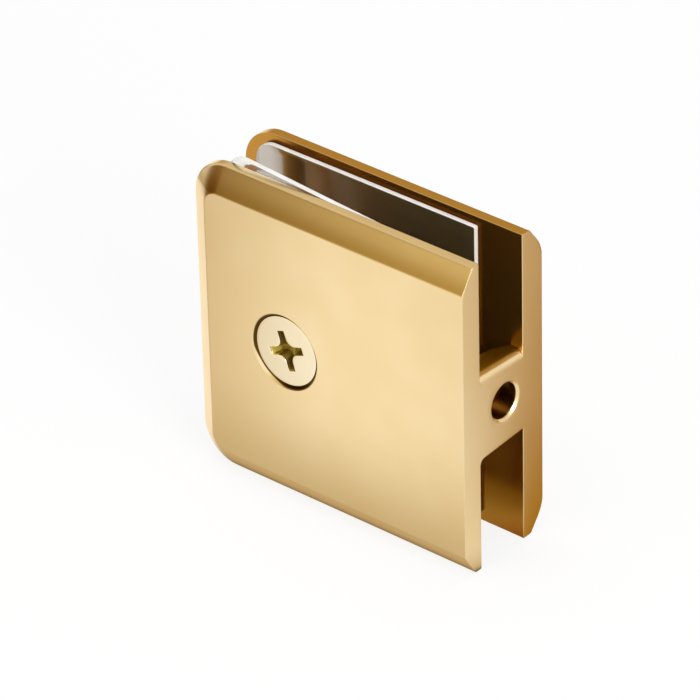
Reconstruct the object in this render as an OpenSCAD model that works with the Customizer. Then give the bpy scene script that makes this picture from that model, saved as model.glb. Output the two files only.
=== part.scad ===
// U-shaped glass clamp: two square bevelled plates on one casting, joined by a lug at the wall end.
// A flat-head machine screw crosses the slot and pulls the plates onto the glass through two clear gaskets.
// Millimetres. The origin is the mouth of the wall screw's hole, +X points into the wall and +Z is up.

/* [Plates] */
// Length of both plates, from the wall face to the free edge
plate_length = 50.8; // [36:0.1:90]
// Height of both plates
plate_height = 50.8; // [36:0.1:90]
// Radius of the two rounded corners at the free edge
corner_radius = 6; // [5:0.1:12]
// Full thickness of the front plate
front_thickness = 3.7; // [3.4:0.05:8]
// Thickness left at the front plate's thin edge
front_edge = 1.35; // [0.8:0.05:2]
// Width of the front plate's bevel
front_bevel = 3.6; // [1:0.1:4]
// Radius where the front plate's bevel meets its face
front_blend = 0.8; // [0.2:0.1:2]
// Full thickness of the rear plate
rear_thickness = 4.4; // [4.2:0.05:8]
// Thickness left at the rear plate's thin edge
rear_edge = 1.65; // [0.8:0.05:2.4]
// Width of the rear plate's bevel before its rounding
rear_bevel = 3.6; // [1:0.1:4]
// Radius where the rear plate's bevel rolls into its back
rear_blend = 5.6; // [0.5:0.1:6]

/* [Glass slot] */
// Clear width between the inner faces of the plates
slot_width = 9.6; // [6:0.1:16]

/* [Lug] */
// Height of the lug where it leaves the front plate
lug_height = 14; // [10:0.1:24]
// Thickness of the lug, from the wall face into the slot
lug_depth = 3.8; // [3:0.1:8]
// Taper of the lug's top and underside towards the rear plate, in degrees
lug_taper = 2.3; // [0:0.1:5]
// Radius of the curve on the lug's inner side near the rear plate
lug_nose = 8; // [6:0.5:16]
// Radius of the softened top corner where the lug meets the rear plate
lug_corner = 1.3; // [0.3:0.1:2]
// Fillet between the front plate and the lug's underside
lug_fillet = 0.8; // [0.3:0.1:2]

/* [Wall screw hole] */
// Diameter of the hole for the wall screw
wall_hole_diameter = 5.6; // [3:0.1:7]
// Chamfer at the mouth of that hole
wall_hole_chamfer = 0.45; // [0.1:0.05:0.8]
// Distance of that hole from the front plate's inner face
wall_hole_offset = 5.6; // [4:0.1:8]

/* [Clamp screw] */
// Distance of the clamp screw from the free edge
screw_setback = 18; // [14:0.1:40]
// Thread diameter of the clamp screw
screw_diameter = 6; // [4:0.5:7]
// Diameter of its flat head
head_diameter = 11.4; // [8.6:0.1:12]
// Depth of the head below the front plate's face
head_recess = 0.4; // [0.1:0.05:0.6]
// Gap around the shank in the front plate
shank_gap = 0.3; // [0.1:0.05:0.6]
// Gap around the thread in the rear plate
thread_gap = 0.05; // [0.02:0.01:0.1]
// Length of thread in the rear plate
thread_grip = 3.1; // [2:0.1:4]
// Free depth left under the screw's tip
tip_gap = 0.3; // [0.1:0.05:0.6]
// Width of the cross recess, tip to tip
recess_span = 6.35; // [4:0.05:7]
// Width of one arm of the recess
recess_arm = 1.1; // [0.8:0.05:1.6]
// Depth of the recess
recess_depth = 2.4; // [1:0.1:3]
// Turn of the recess as the screw was left, in degrees
recess_turn = 19; // [0:1:89]

/* [Gaskets] */
// Thickness of one gasket
gasket_thickness = 0.8; // [0.5:0.05:2]
// Length of a gasket along the plate
gasket_length = 40.4; // [30:0.1:46]
// Height of a gasket
gasket_height = 48.3; // [34:0.1:50.8]
// Radius of the gasket's corners at the free edge
gasket_corner = 3.2; // [1:0.1:8]
// Radius of its corners at the wall end
gasket_end_corner = 0.3; // [0.2:0.1:3]
// Diameter of the gasket's hole round the screw
gasket_hole = 11; // [9:0.5:14]
// Distance from the gasket's free edge to the middle of its hole
gasket_hole_setback = 15.2; // [12:0.1:20]
// Distance from the gasket's top edge to the middle of its hole
gasket_hole_drop = 24.1; // [17:0.1:25]
// Turn of the front gasket, which sits crooked, in degrees
front_gasket_turn = 4.3; // [0:0.1:8]
// Shift of the front gasket along its own height
front_gasket_lift = 1.7; // [0:0.1:1.8]
// Shift of the front gasket along its own length
front_gasket_shift = 0.5; // [0:0.1:0.6]

/* [Hidden] */
$fn = 96;
slack = 0.5;
blend_lap = 0.004;
half_turn = 180;
quarter_turn = 90;
half_height = plate_height / 2;
front_inner_y = -wall_hole_offset;
rear_inner_y = slot_width - wall_hole_offset;
screw_x = screw_setback - plate_length;
head_radius = head_diameter / 2;
screw_radius = screw_diameter / 2;
countersink_radius = head_radius + head_recess;
shank_hole_radius = screw_radius + shank_gap;
tapped_radius = screw_radius + thread_gap;
front_face_y = front_inner_y - front_thickness;
head_top_y = front_face_y + head_recess;
screw_tip_y = rear_inner_y + thread_grip;
front_blend_reach = front_bevel + front_blend;
rear_blend_reach = rear_bevel + rear_blend * tan(atan2(rear_thickness - rear_edge, rear_bevel) / 2);
corner = max(corner_radius, max(front_blend_reach, rear_blend_reach) + slack);
nose_reach = slot_width / 2;
corner_reach = 2.1;
corner_tilt = atan(lug_corner * (1 - cos(half_turn / 4)) / corner_reach);
gold = [0.80, 0.64, 0.36];
polished_gold = [0.93, 0.86, 0.66];
clear_vinyl = [0.88, 0.90, 0.90, 0.45];

// Wedge outside a circle, which rounds the edge between a plate's face and its bevel.
module blend_cut(radius, turn) {
    far = radius + slack;
    difference() {
        polygon([
            [0, 0],
            [0, far],
            [-far * tan(turn / 2), far],
            [-far * sin(turn), far * cos(turn)]
        ]);
        circle(r = radius);
    }
}

// Half section of a plate: x is the distance in from the outline, y the depth from the inner face.
module edge_section(reach, edge, thickness, bevel, blend) {
    turn = atan2(thickness - edge, bevel);
    seat = blend - blend_lap;
    difference() {
        polygon([[0, 0], [0, edge], [bevel, thickness], [reach, thickness], [reach, 0]]);
        translate([bevel + seat * tan(turn / 2), thickness - seat])
            blend_cut(blend, turn);
    }
}

// One rounded corner of a plate, whose middle is at the origin, with its depth along +Y.
module plate_corner(edge, thickness, bevel, blend) {
    rotate([-quarter_turn, 0, 0])
        rotate_extrude(angle = quarter_turn)
            translate([corner, 0])
                mirror([1, 0])
                    edge_section(corner, edge, thickness, bevel, blend);
}

// A plate bevelled on its top, underside and free edge, with its inner face on Y = 0.
module bevelled_plate(edge, thickness, bevel, blend) {
    translate([corner - plate_length, 0, 0])
        rotate([quarter_turn, 0, quarter_turn])
            linear_extrude(plate_length - corner) {
                translate([0, half_height])
                    rotate(-quarter_turn)
                        edge_section(half_height, edge, thickness, bevel, blend);
                mirror([0, 1])
                    translate([0, half_height])
                        rotate(-quarter_turn)
                            edge_section(half_height, edge, thickness, bevel, blend);
            }
    translate([-plate_length, 0, corner - half_height])
        linear_extrude(plate_height - 2 * corner)
            edge_section(corner, edge, thickness, bevel, blend);
    translate([corner - plate_length, 0, half_height - corner])
        mirror([1, 0, 0])
            mirror([0, 0, 1])
                plate_corner(edge, thickness, bevel, blend);
    translate([corner - plate_length, 0, corner - half_height])
        mirror([1, 0, 0])
            plate_corner(edge, thickness, bevel, blend);
}

// Side view of the lug between the plates, x along Y and y along Z.
module lug_side() {
    front_half = lug_height / 2 + slack * tan(lug_taper);
    rear_half = lug_height / 2 - (slot_width + slack) * tan(lug_taper);
    polygon([
        [-slack, front_half],
        [slot_width + slack, rear_half],
        [slot_width + slack, -rear_half],
        [-slack, -front_half]
    ]);
    difference() {
        translate([-slack, -lug_height / 2 - lug_fillet])
            square([lug_fillet + slack, lug_fillet + slack]);
        translate([lug_fillet, -lug_height / 2 - lug_fillet])
            circle(r = lug_fillet);
    }
}

// Curved relief of the lug's inner side, seen from above.
module lug_nose_cut() {
    difference() {
        translate([-lug_depth - slack, slot_width - nose_reach])
            square([lug_nose + slack, lug_nose + slack]);
        translate([lug_nose - lug_depth, slot_width - nose_reach])
            circle(r = lug_nose);
    }
}

// Softened top corner of the lug, growing towards the rear plate.
module lug_corner_cut() {
    translate([0, slot_width, lug_height / 2 - slot_width * tan(lug_taper)])
        rotate([-corner_tilt, 0, corner_tilt])
            translate([0, slack, 0])
                rotate([quarter_turn, 0, 0])
                    linear_extrude(2 * corner_reach)
                        difference() {
                            translate([-lug_corner, -lug_corner])
                                square(2 * lug_corner);
                            translate([-lug_corner, -lug_corner])
                                circle(r = lug_corner);
                        }
}

module lug() {
    difference() {
        translate([-lug_depth, 0, 0])
            rotate([quarter_turn, 0, quarter_turn])
                linear_extrude(lug_depth)
                    lug_side();
        translate([0, 0, -lug_height])
            linear_extrude(2 * lug_height)
                lug_nose_cut();
        lug_corner_cut();
    }
}

module wall_hole_cut() {
    mouth_radius = wall_hole_diameter / 2 + wall_hole_chamfer;
    rotate([0, quarter_turn, 0]) {
        translate([0, 0, -lug_depth - slack])
            cylinder(d = wall_hole_diameter, h = lug_depth + 2 * slack);
        translate([0, 0, -wall_hole_chamfer])
            cylinder(r1 = wall_hole_diameter / 2, r2 = mouth_radius, h = wall_hole_chamfer);
    }
}

module countersink_cut() {
    cone_depth = countersink_radius - shank_hole_radius;
    translate([screw_x, front_face_y, 0])
        rotate([-quarter_turn, 0, 0]) {
            cylinder(r1 = countersink_radius, r2 = shank_hole_radius, h = cone_depth);
            cylinder(r = shank_hole_radius, h = front_thickness + slack);
        }
}

module tapped_hole_cut() {
    translate([screw_x, rear_inner_y - slack, 0])
        rotate([-quarter_turn, 0, 0])
            cylinder(r = tapped_radius, h = thread_grip + tip_gap + slack);
}

module clamp_body() {
    color(gold)
        difference() {
            union() {
                translate([0, front_inner_y, 0])
                    mirror([0, 1, 0])
                        bevelled_plate(front_edge, front_thickness, front_bevel, front_blend);
                translate([0, rear_inner_y, 0])
                    bevelled_plate(rear_edge, rear_thickness, rear_bevel, rear_blend);
                translate([0, front_inner_y, 0])
                    lug();
            }
            wall_hole_cut();
            countersink_cut();
            tapped_hole_cut();
        }
}

// Plan of the cross recess, with curved inner corners between its arms.
module recess_plan() {
    flank = (recess_span - recess_arm) / 5;
    side = recess_arm / 2 + flank;
    square([recess_span, recess_arm], center = true);
    square([recess_arm, recess_span], center = true);
    difference() {
        square(2 * side, center = true);
        for (turn = [0 : quarter_turn : 3 * quarter_turn])
            rotate(turn)
                translate([side, side])
                    circle(r = flank);
    }
}

module clamp_screw() {
    head_height = head_radius - screw_radius;
    length = screw_tip_y - head_top_y;
    color(polished_gold)
        translate([screw_x, head_top_y, 0])
            rotate([-quarter_turn, 0, 0])
                difference() {
                    union() {
                        cylinder(r1 = head_radius, r2 = screw_radius, h = head_height);
                        cylinder(r = screw_radius, h = length - thread_gap);
                    }
                    intersection() {
                        translate([0, 0, -slack])
                            rotate(-recess_turn)
                                linear_extrude(recess_depth + slack)
                                    recess_plan();
                        translate([0, 0, -slack])
                            cylinder(r1 = recess_span / 2 + slack / 2, r2 = recess_arm, h = recess_depth + slack);
                    }
                }
}

// Gasket sheet seen from the front, with the middle of its hole at the origin.
module gasket_plan() {
    left = -gasket_hole_setback;
    right = gasket_length - gasket_hole_setback;
    top = gasket_hole_drop;
    low = gasket_hole_drop - gasket_height;
    difference() {
        union() {
            translate([left + gasket_corner, low + gasket_corner])
                circle(r = gasket_corner);
            translate([left + gasket_corner, top - gasket_corner])
                circle(r = gasket_corner);
            translate([right - gasket_end_corner, low + gasket_end_corner])
                circle(r = gasket_end_corner);
            translate([right - gasket_end_corner, top - gasket_end_corner])
                circle(r = gasket_end_corner);
            translate([left, low + gasket_corner])
                square([gasket_length - gasket_end_corner, gasket_height - 2 * gasket_corner]);
            translate([left + gasket_corner, low])
                square([gasket_length - gasket_corner - gasket_end_corner, gasket_height]);
            translate([right - gasket_corner, low + gasket_end_corner])
                square([gasket_corner, gasket_height - 2 * gasket_end_corner]);
        }
        circle(d = gasket_hole);
    }
}

module front_gasket() {
    color(clear_vinyl)
        translate([screw_x, front_inner_y + gasket_thickness, 0])
            rotate([quarter_turn, 0, 0])
                linear_extrude(gasket_thickness)
                    rotate(-front_gasket_turn)
                        translate([front_gasket_shift, front_gasket_lift])
                            gasket_plan();
}

module rear_gasket() {
    color(clear_vinyl)
        translate([screw_x, rear_inner_y, 0])
            rotate([quarter_turn, 0, 0])
                linear_extrude(gasket_thickness)
                    gasket_plan();
}

clamp_body();
clamp_screw();
front_gasket();
rear_gasket();
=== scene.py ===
"""Gives the glass clamp its looks: satin gold casting, threaded screw, clear gaskets and a plain studio."""

import math

import bpy
import numpy as np
from bpy.props import FloatProperty, FloatVectorProperty, PointerProperty
from mathutils import Matrix, Vector


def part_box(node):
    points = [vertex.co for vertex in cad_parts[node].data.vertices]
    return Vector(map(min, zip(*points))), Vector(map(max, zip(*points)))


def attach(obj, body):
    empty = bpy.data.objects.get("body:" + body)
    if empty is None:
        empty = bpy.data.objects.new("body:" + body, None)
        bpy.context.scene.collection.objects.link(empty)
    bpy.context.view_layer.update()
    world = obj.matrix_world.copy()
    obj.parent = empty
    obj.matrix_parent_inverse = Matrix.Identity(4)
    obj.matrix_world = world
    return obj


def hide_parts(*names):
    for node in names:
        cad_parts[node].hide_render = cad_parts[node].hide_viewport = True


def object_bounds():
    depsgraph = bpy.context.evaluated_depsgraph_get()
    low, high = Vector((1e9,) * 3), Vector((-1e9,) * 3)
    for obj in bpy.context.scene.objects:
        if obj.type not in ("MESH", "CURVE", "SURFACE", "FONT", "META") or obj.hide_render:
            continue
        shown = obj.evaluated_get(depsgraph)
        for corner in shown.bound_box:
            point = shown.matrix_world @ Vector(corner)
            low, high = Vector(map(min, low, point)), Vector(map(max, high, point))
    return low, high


bl_info = {
    "name": "Glass clamp finish",
    "version": (1, 0, 0),
    "blender": (4, 5, 0),
    "location": "View3D > Sidebar > Glass clamp",
    "description": "Finishes a square glass clamp: satin casting, cross-recess screw and clear gaskets",
    "category": "Object",
}

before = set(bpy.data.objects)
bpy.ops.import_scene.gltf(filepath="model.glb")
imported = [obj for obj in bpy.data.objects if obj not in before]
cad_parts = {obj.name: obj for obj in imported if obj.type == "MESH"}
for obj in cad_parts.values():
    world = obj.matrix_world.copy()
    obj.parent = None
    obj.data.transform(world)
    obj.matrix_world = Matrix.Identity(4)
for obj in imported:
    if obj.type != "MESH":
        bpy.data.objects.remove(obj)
cad_low, cad_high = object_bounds()
body_low, body_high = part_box("clamp_body")
screw_low, screw_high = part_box("clamp_screw")
front_sheet_low, front_sheet_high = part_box("front_gasket")
rear_sheet_low, rear_sheet_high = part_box("rear_gasket")

MM = 0.001
SCREW_X = (screw_low.x + screw_high.x) / 2
SCREW_Z = (screw_low.z + screw_high.z) / 2
HEAD_RADIUS = (screw_high.x - screw_low.x) / 2
THREAD_CREST = 3.0 * MM
HOLLOW_SHARE = 0.5
FRONT_INNER_Y = front_sheet_low.y
REAR_INNER_Y = rear_sheet_high.y
FLOOR_Z = cad_low.z - 0.03 * MM
MIRROR_SLANT = 0.86
VIEW_SIN, VIEW_COS = 0.65, 0.76
BRIGHT_SIDE_X, BRIGHT_SIDE_Z = -0.66, -0.75
OUTLINE_STEP = 1.2 * MM
LUG_STEP = 0.45 * MM
THREAD_CLEARANCE = 0.05 * MM
THREAD_FLAT, THREAD_FLANK = 0.12, 0.66
ROWS_PER_TURN = 14
WALL_DEPTH_SHARE = 0.86
BACK_FAN_RADIUS = 2 * MM
FILLET_SINK = 0.6 * MM
WAVE_LENGTHS = (23 * MM, 61 * MM, 17 * MM, 47 * MM)
FLOOR_REACH = 1.6
FLOOR_RISE_START = 0.9
FLOOR_RISE = 0.25
CAMERA_AIM = Vector((-17.14, -13.189, 8.47)) * MM
TWO_PI = 2 * math.pi
WHITE = (1.0, 1.0, 1.0)
DUST = (1.0, 0.95, 0.82)
# Painted shade: colour of the gaskets' cut edge in reflections.
EDGE_SHADE_IN_MIRRORS = (0.1, 0.04, 0.0)


# Settings

def millimetres(name, description, default):
    """A length property that is written here in millimetres."""
    return FloatProperty(name=name, description=description, default=default * MM, unit="LENGTH", precision=5)


def colour(name, description, default):
    """A colour property in linear light."""
    return FloatVectorProperty(
        name=name, description=description, default=default, size=3, min=0, max=1, subtype="COLOR"
    )


def share(name, description, default):
    """A property from 0 to 1."""
    return FloatProperty(name=name, description=description, default=default, min=0, max=1, subtype="FACTOR")


def angle(name, description, default):
    """An angle property that is written here in degrees."""
    return FloatProperty(name=name, description=description, default=math.radians(default), subtype="ANGLE")


class CastingSettings(bpy.types.PropertyGroup):
    """Sizes and finish of the U-shaped casting."""
    corner: millimetres("Corner radius", "Radius of the plates' corners at the free edge", 6.0)
    front_edge: millimetres("Front thin edge", "Thickness left at the front plate's thin edge", 1.35)
    front_bevel: millimetres("Front bevel", "Width of the front plate's bevel", 3.6)
    front_blend: millimetres("Front blend", "Radius between the front plate's bevel and its face", 0.5)
    front_ease: millimetres("Front eased edge", "Radius between the front thin edge and its bevel", 0.6)
    rear_edge: millimetres("Rear thin edge", "Thickness left at the rear plate's thin edge", 1.65)
    rear_bevel: millimetres("Rear bevel", "Width of the rear plate's bevel before its roll", 3.6)
    rear_blend: millimetres("Rear roll", "Radius by which the rear plate's bevel rolls into its back", 5.6)
    rear_ease: millimetres("Rear eased edge", "Radius between the rear thin edge and its bevel", 0.5)
    wear: millimetres("Edge rounding", "Radius of the worn edges", 0.08)
    seat_gap: millimetres("Seat gap", "Gap round the screw's head in its countersink", 0.4)
    shank_gap: millimetres("Shank gap", "Gap round the screw's shank in the front plate", 0.3)
    tip_gap: millimetres("Tip gap", "Free depth under the screw's tip", 0.3)
    lug_height: millimetres("Lug height", "Height of the lug where it leaves the front plate", 14.0)
    lug_depth: millimetres("Lug depth", "Thickness of the lug, from the wall face into the slot", 3.8)
    lug_taper: angle("Lug taper", "Taper of the lug's top and underside towards the rear plate", 2.3)
    lug_nose: millimetres("Lug nose", "Radius of the curve on the lug's inner side", 8.0)
    lug_corner: millimetres("Lug corner", "Radius of the lug's softened top edge at the wall end", 1.3)
    lug_fillet: millimetres("Lug fillet", "Fillet between the front plate and the lug's underside", 0.8)
    wall_hole: millimetres("Wall hole", "Diameter of the hole for the wall screw", 5.6)
    wall_chamfer: millimetres("Wall hole chamfer", "Chamfer at the mouth of that hole", 0.34)
    gold: colour("Gold", "Plating where it reflects white", (1.0, 0.795, 0.46))
    deep_gold: colour("Deep gold", "Plating in the darker clouds of the finish", (0.975, 0.755, 0.415))
    worn_gold: colour("Worn gold", "Plating rubbed bright along the edges", (1.0, 0.84, 0.56))
    # Painted shade: the top bevel is coloured deeper towards its foot, for the shading of a curved bevel.
    bevel_painted_shade: colour("Bevel gold", "Deeper plating along the foot of the top bevel", (0.7, 0.48, 0.18))
    # Painted shade: the slot's inner faces are coloured dark brown for the shade between the plates, and
    # darker still where other faces reflect them.
    slot_shade_gold: colour("Slot gold", "Thin brown plating on the slot's inner faces", (0.55, 0.26, 0.04))
    slot_shade: colour("Slot shade", "The slot's faces where another face mirrors them", (0.3, 0.12, 0.015))
    lug_gold: colour("Lug gold", "Plating on the lug's sides, inside the slot", (1.0, 0.78, 0.05))
    # Painted shade: the countersink and the wall screw's hole are coloured dark for the shade inside them.
    seat_shade: colour("Seat gold", "Thin dark plating in the countersink", (0.1, 0.05, 0.004))
    bore_shade: colour("Bore gold", "Brown plating inside the wall screw's hole", (0.3, 0.12, 0.015))
    satin: share("Satin roughness", "Roughness of the bead-blasted outside", 0.3)
    polish: share("Polished roughness", "Roughness of the slot's inner faces and the bores", 0.2)


class ScrewSettings(bpy.types.PropertyGroup):
    """Sizes and finish of the flat-head screw."""
    recess_span: millimetres("Recess span", "Width of the cross recess, tip to tip", 6.35)
    recess_arm: millimetres("Recess arm", "Width of one arm of the recess", 1.25)
    recess_depth: millimetres("Recess depth", "Depth of the recess where its arms meet", 1.9)
    recess_turn: angle("Recess turn", "Turn of the recess as the screw was left", 19)
    recess_taper: share("Recess taper", "Share by which the recess narrows towards its floor", 0.26)
    lip: millimetres("Recess lip", "Rounding along the recess's mouth", 0.09)
    rim: millimetres("Rim rounding", "Radius of the head's rim", 0.1)
    pitch: millimetres("Thread pitch", "Distance from one turn of the thread to the next", 1.0)
    thread_depth: millimetres("Thread depth", "Height of the thread", 0.6)
    tip_chamfer: millimetres("Tip chamfer", "Chamfer at the screw's tip", 0.6)
    gold: colour("Polished gold", "Plating of the screw", (1.0, 0.86, 0.6))
    # Painted shade: the cross recess is coloured dark for the shade inside it.
    recess_shade: colour("Recess", "Dark plating inside the cross recess", (0.43, 0.32, 0.06))
    polish: share("Roughness", "Roughness of the turned head", 0.2)


class GasketSettings(bpy.types.PropertyGroup):
    """Sizes and finish of the two gaskets."""
    corner: millimetres("Corner radius", "Radius of the corners at the free edge", 3.2)
    end_corner: millimetres("End corner radius", "Radius of the corners at the wall end", 0.3)
    trim: millimetres("Trim", "Cut off at the wall end, so that the cut edge hides behind the plate", 0.2)
    hole: millimetres("Hole", "Diameter of the hole round the screw", 11.0)
    lift: millimetres("Front lift", "Shift of the front gasket along its own height", 1.7)
    shift: millimetres("Front shift", "Shift of the front gasket along its own length", 0.5)
    turn: angle("Front turn", "Turn of the front gasket, which sits crooked", -4.3)
    air: millimetres("Air gap", "Film of air between a gasket and the plate", 0.02)
    edge: millimetres("Edge rounding", "Rounding of the cut edge", 0.12)
    ripple: millimetres("Ripple", "Height of the slow waves in the sheet", 0.05)
    tint: colour("Tint", "Colour of light that has passed through the front gasket", (0.96, 0.98, 1.0))
    # Painted shade: the rear sheet is the same clear vinyl as the front, tinted amber for the gold shade of
    # the slot round it.
    rear_shade_tint: colour("Warm tint", "Colour of light through the rear gasket", (0.75, 0.56, 0.17))
    edge_white: colour("Cut edge", "Frosted colour of the cut edge", (0.98, 0.975, 0.95))


class StudioSettings(bpy.types.PropertyGroup):
    """Camera, the colour of the floor, and the floor's tones in reflections, which are painted light and
    shade.
    """
    azimuth: angle("Azimuth", "Camera's place round the clamp, from the front to the wall end", 40.6483)
    elevation: angle("Elevation", "Camera's height above the horizon", 32.4228)
    roll: angle("Roll", "Camera's turn about its own line of sight", -1.4259)
    distance: millimetres("Distance", "From the camera to the point it looks at", 793.2)
    lens: FloatProperty(name="Lens", description="Focal length", default=292.07, unit="CAMERA")
    floor: colour("Floor", "Colour of the pale floor", (0.9, 0.9, 0.9))
    # Painted shade and light: the tones below colour the floor only where the clamp reflects it.
    left_tone: colour("Left tone", "Floor far off to the left, in reflections", (0.57, 0.49, 0.37))
    right_tone: colour("Right tone", "Floor before the wall end, in reflections", (0.86, 0.84, 0.8))
    foot_shadow_tone: colour("Foot tone", "Floor round the clamp's foot, in reflections", (0.57, 0.5, 0.38))
    bevel_tone: colour("Bevel tone", "Floor under the lower bevel, in reflections", (0.54, 0.43, 0.26))
    side_tone: colour("Side tone", "Floor beside the free end, in reflections", (1.0, 0.96, 0.89))
    shadow_line_tone: colour("Line tone", "Floor along the plate's underside, in reflections", (0.1, 0.045, 0.0))
    slot_tone: colour("Slot tone", "Floor under the slot, towards the rear plate", (0.48, 0.46, 0.3))
    slot_deep_tone: colour("Slot deep tone", "Floor under the slot, by the front plate", (0.26, 0.2, 0.04))
    end_tone: colour("End tone", "Floor past the wall end, in reflections", (0.8, 0.78, 0.74))
    back_tone: colour("Back tone", "Floor behind the wall end, in reflections", (0.35, 0.18, 0.01))


# Node helpers

class Wire:
    """A value in a node tree that is worked with like a number."""

    def __init__(self, tree, socket):
        self.tree = tree
        self.socket = socket

    def math(self, operation, *others, clamp=False):
        """One math node on this value and others."""
        inputs = dict(enumerate((self, *others)))
        made = add_node(self.tree, "ShaderNodeMath", inputs, operation=operation, use_clamp=clamp)
        return Wire(self.tree, made.outputs[0])

    def __add__(self, other):
        return self.math("ADD", other)

    def __sub__(self, other):
        return self.math("SUBTRACT", other)

    def __rsub__(self, other):
        return self.math("MULTIPLY_ADD", -1.0, other)

    def __mul__(self, other):
        return self.math("MULTIPLY", other)

    def ramp(self, start, end, low=0.0, high=1.0):
        """Maps start..end to low..high with soft ends."""
        spans = {"From Min": start, "From Max": end, "To Min": low, "To Max": high}
        made = add_node(
            self.tree, "ShaderNodeMapRange", {"Value": self, **spans}, interpolation_type="SMOOTHSTEP"
        )
        return Wire(self.tree, made.outputs["Result"])

    def fade(self, origin, start, end, low=0.0, high=1.0):
        """The same, with start and end in millimetres from an origin."""
        return self.ramp(origin + start * MM, origin + end * MM, low, high)

    def across(self, other):
        """Distance from an axis: the root of the summed squares of the two coordinates across it."""
        return (self * self + other * other).math("SQRT")


def feed(tree, socket, value):
    """Links a value to a socket, or sets a plain one there."""
    value = value.socket if isinstance(value, Wire) else value
    if isinstance(value, bpy.types.NodeSocket):
        tree.links.new(value, socket)
    else:
        socket.default_value = (*value[:3], 1.0) if socket.type == "RGBA" else value


def add_node(tree, kind, inputs=None, **settings):
    """Adds a shader node, sets its options and feeds its inputs."""
    made = tree.nodes.new(kind)
    for key, value in settings.items():
        setattr(made, key, value)
    for key, value in (inputs or {}).items():
        feed(tree, made.inputs[key], value)
    return made


def layered(tree, look, *layers):
    """Lays colours over a first one in turn, each by its own mask."""
    for mask, tint in layers:
        made = add_node(tree, "ShaderNodeMix", data_type="RGBA")
        values = {"Factor_Float": mask, "A_Color": look, "B_Color": tint}
        for socket in made.inputs:
            if socket.identifier in values:
                feed(tree, socket, values[socket.identifier])
        look = next(Wire(tree, socket) for socket in made.outputs if socket.identifier == "Result_Color")
    return look


def tinted(tone, factor):
    """A colour times a factor, held at 1."""
    return tuple(min(1.0, factor * part) for part in tone)


def object_axes(tree):
    """Object coordinates as one vector, and as X, Y and Z."""
    place = add_node(tree, "ShaderNodeTexCoord").outputs["Object"]
    split = add_node(tree, "ShaderNodeSeparateXYZ", {"Vector": place}).outputs
    return place, Wire(tree, split["X"]), Wire(tree, split["Y"]), Wire(tree, split["Z"])


def light_path(tree, label):
    """One of the ray's marks, such as Is Glossy Ray."""
    return Wire(tree, add_node(tree, "ShaderNodeLightPath").outputs[label])


def noise(tree, place, scale, detail, roughness=0.5):
    """Noise at a place."""
    inputs = {"Vector": place, "Scale": scale, "Detail": detail, "Roughness": roughness}
    return Wire(tree, add_node(tree, "ShaderNodeTexNoise", inputs).outputs["Fac"])


def grain_nodes(group, given, place):
    """Bead-blast grain: fine pits, slow orange peel and soft clouds of tone."""
    pits = noise(group, place, given["Pit Scale"], 3.0, 0.6)
    peel = noise(group, place, given["Peel Scale"], 1.0)
    clouds = noise(group, place, given["Cloud Scale"], 2.0)
    tone = clouds.ramp(0.3, 0.7).math("ADD", pits * 0.35 - 0.175, clamp=True)
    return {"Height": pits + peel * given["Peel Share"], "Tone": tone}


def edge_nodes(group, given, place):
    """Mask of sharp edges: how far a normal averaged over a small radius leaves the true one."""
    averaged = add_node(group, "ShaderNodeBevel", {"Radius": given["Radius"]}, samples=6).outputs["Normal"]
    normal = add_node(group, "ShaderNodeNewGeometry").outputs["True Normal"]
    agreement = add_node(group, "ShaderNodeVectorMath", {0: averaged, 1: normal}, operation="DOT_PRODUCT")
    turned = Wire(group, agreement.outputs["Value"]).math("MULTIPLY_ADD", -1.0, 1.0, clamp=True)
    span = {"Value": turned, "From Max": given["Reach"]}
    strength = add_node(group, "ShaderNodeMapRange", span, clamp=True)
    breaks = noise(group, place, given["Break Scale"], 2.0)
    return {"Mask": Wire(group, strength.outputs["Result"]) * breaks.ramp(0.25, 0.6, 0.4)}


def speck_nodes(group, given, place):
    """Sparse specks, such as dust or pinholes: small balls round some of the cells' points."""
    cells = add_node(group, "ShaderNodeTexVoronoi", {"Vector": place, "Scale": given["Scale"]}).outputs
    draw = add_node(group, "ShaderNodeSeparateColor", {"Color": cells["Color"]}).outputs[0]
    chosen = Wire(group, draw).math("LESS_THAN", given["Share"])
    return {"Mask": chosen * Wire(group, cells["Distance"]).math("LESS_THAN", given["Size"])}


GROUPS = {
    "bead_blast_grain": (
        grain_nodes, {"Pit Scale": 6000.0, "Peel Scale": 600.0, "Cloud Scale": 60.0, "Peel Share": 0.5},
        ("Height", "Tone"),
    ),
    "edge_wear": (edge_nodes, {"Radius": 0.3 * MM, "Reach": 0.12, "Break Scale": 900.0}, ("Mask",)),
    "specks": (speck_nodes, {"Scale": 300.0, "Size": 0.06, "Share": 0.2}, ("Mask",)),
}


def place_group(tree, name, **values):
    """Places a shared group, built once on Object coordinates, with its own values; gives its outputs."""
    build, inputs, outputs = GROUPS[name]
    if name not in bpy.data.node_groups:
        group = bpy.data.node_groups.new(name, "ShaderNodeTree")
        for label, default in inputs.items():
            socket = group.interface.new_socket(label, in_out="INPUT", socket_type="NodeSocketFloat")
            socket.default_value = default
        for label in outputs:
            group.interface.new_socket(label, in_out="OUTPUT", socket_type="NodeSocketFloat")
        source = add_node(group, "NodeGroupInput").outputs
        given = {label: Wire(group, source[label]) for label in inputs}
        place = add_node(group, "ShaderNodeTexCoord").outputs["Object"]
        add_node(group, "NodeGroupOutput", build(group, given, place))
    placed = add_node(tree, "ShaderNodeGroup", node_tree=bpy.data.node_groups[name])
    for key, value in values.items():
        placed.inputs[key.replace("_", " ")].default_value = value
    return {label: Wire(tree, placed.outputs[label]) for label in outputs}


def new_material(name, **values):
    """A material whose shader has plain values set on its own sockets."""
    material = bpy.data.materials.new(name)
    material.use_nodes = True
    shader = material.node_tree.nodes["Principled BSDF"]
    for key, value in values.items():
        shader.inputs[key.replace("_", " ")].default_value = value
    return material, material.node_tree, shader


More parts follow.
